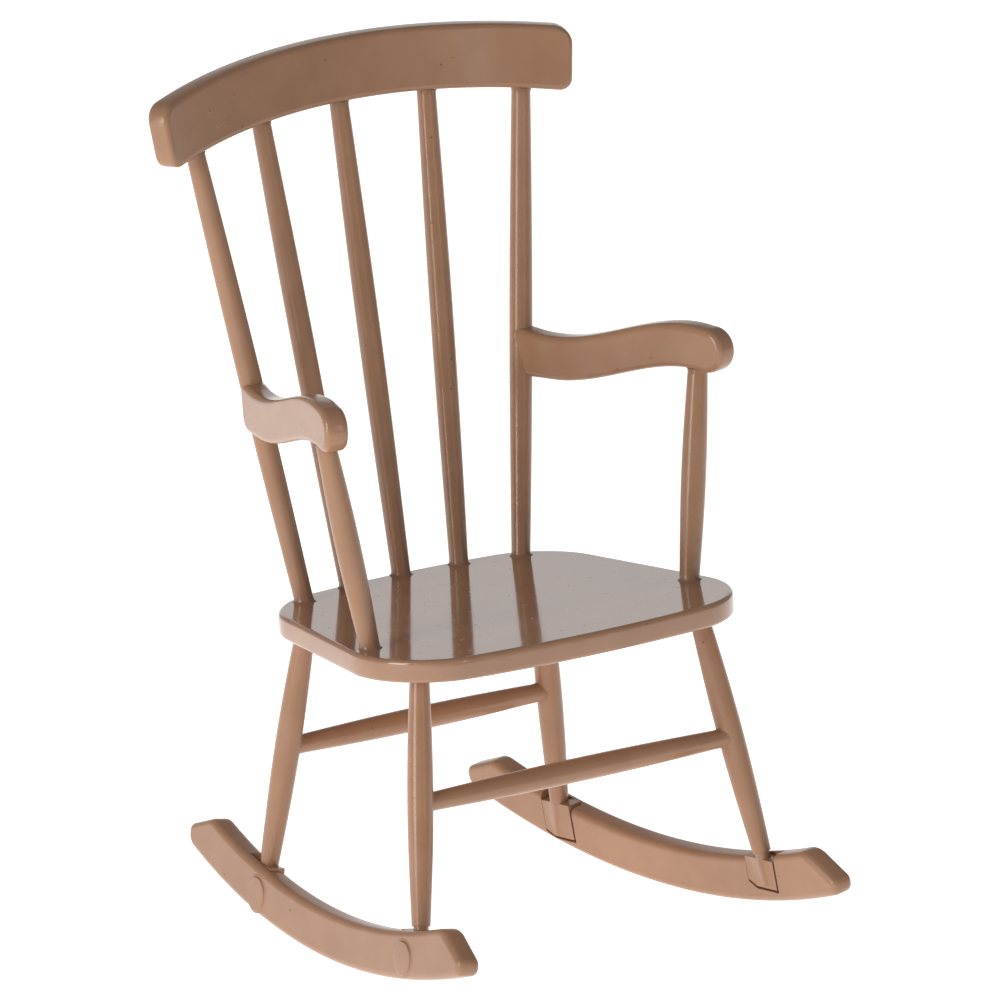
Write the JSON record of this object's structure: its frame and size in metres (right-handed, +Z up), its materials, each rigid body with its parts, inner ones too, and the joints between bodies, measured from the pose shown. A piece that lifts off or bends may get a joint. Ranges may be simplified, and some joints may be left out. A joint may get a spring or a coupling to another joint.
{
  "type": "miniature rocking chair",
  "caption": "Miniature painted metal rocking chair with a fanned spindle back, a bent crest rail, shaped arms, a flat seat, splayed legs and curved rockers.",
  "frame": {"origin": "on the floor, under the middle of the chair's bounding box", "axes": "+Z up; -Y the way the sitter faces; +X the sitter's left"},
  "size_m": [0.0666, 0.0792, 0.1124],
  "materials": {
    "crest_rail_enamel": "gloss",
    "back_spindle_outer_right_enamel": "gloss",
    "back_spindle_inner_right_enamel": "gloss",
    "back_spindle_centre_enamel": "gloss",
    "back_spindle_inner_left_enamel": "gloss",
    "back_spindle_outer_left_enamel": "gloss",
    "arm_right_enamel": "gloss",
    "arm_left_enamel": "gloss",
    "arm_post_right_enamel": "gloss",
    "arm_post_left_enamel": "gloss",
    "seat_enamel": "gloss",
    "leg_front_right_enamel": "gloss",
    "leg_front_left_enamel": "gloss",
    "leg_rear_right_enamel": "gloss",
    "leg_rear_left_enamel": "gloss",
    "stretcher_front_enamel": "gloss",
    "stretcher_rear_enamel": "gloss",
    "rocker_right_enamel": "gloss",
    "rocker_left_enamel": "gloss",
    "rocker_pin_front_right_enamel": "gloss",
    "rocker_pin_front_left_enamel": "gloss",
    "rocker_pin_rear_right_enamel": "gloss",
    "rocker_pin_rear_left_enamel": "gloss"
  },
  "bodies": {
    "root": {"crest_rail": "crest_rail_enamel", "back_spindle_outer_right": "back_spindle_outer_right_enamel", "back_spindle_inner_right": "back_spindle_inner_right_enamel", "back_spindle_centre": "back_spindle_centre_enamel", "back_spindle_inner_left": "back_spindle_inner_left_enamel", "back_spindle_outer_left": "back_spindle_outer_left_enamel", "arm_right": "arm_right_enamel", "arm_left": "arm_left_enamel", "arm_post_right": "arm_post_right_enamel", "arm_post_left": "arm_post_left_enamel", "seat": "seat_enamel", "leg_front_right": "leg_front_right_enamel", "leg_front_left": "leg_front_left_enamel", "leg_rear_right": "leg_rear_right_enamel", "leg_rear_left": "leg_rear_left_enamel", "stretcher_front": "stretcher_front_enamel", "stretcher_rear": "stretcher_rear_enamel", "rocker_right": "rocker_right_enamel", "rocker_left": "rocker_left_enamel", "rocker_pin_front_right": "rocker_pin_front_right_enamel", "rocker_pin_front_left": "rocker_pin_front_left_enamel", "rocker_pin_rear_right": "rocker_pin_rear_right_enamel", "rocker_pin_rear_left": "rocker_pin_rear_left_enamel"}
  },
  "joints": []
}
